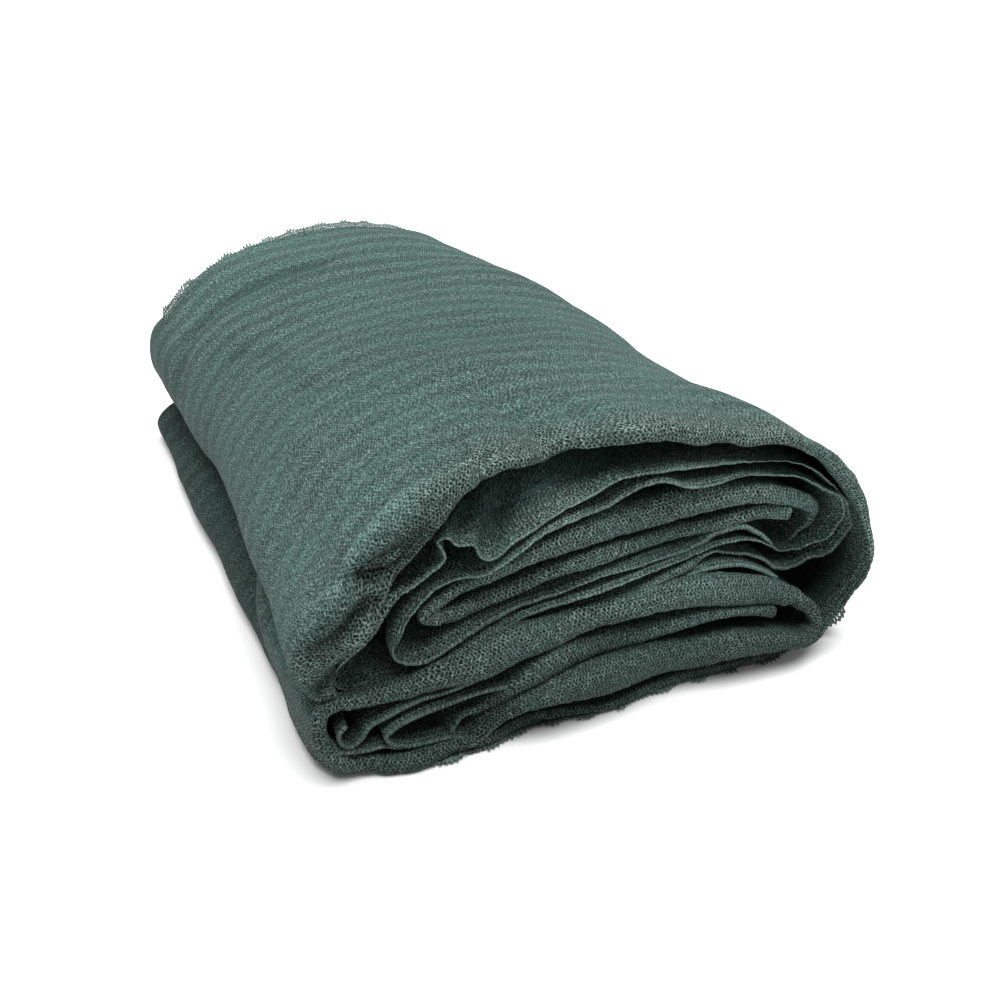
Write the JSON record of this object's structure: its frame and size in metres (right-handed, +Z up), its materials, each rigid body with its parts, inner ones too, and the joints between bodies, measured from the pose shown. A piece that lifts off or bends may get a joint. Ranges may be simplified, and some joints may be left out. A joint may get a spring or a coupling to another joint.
{
  "type": "olive harvest net",
  "caption": "Fine knitted green harvest net folded into a thick storage bundle, its layers closed over each other with an upper and a lower lobe on the left.",
  "frame": {"origin": "middle of the bottom of the folded bundle's box, on the surface that it lies on", "axes": "+X across the bundle's width from the side with the two lobes to the closed side, +Y along its length from front to back, +Z up"},
  "size_m": [0.5016, 0.8322, 0.2341],
  "materials": {
    "net": "matt knitted polyethylene monofilament and tape, dark green"
  },
  "bodies": {
    "root": {"net": "net"}
  },
  "joints": []
}
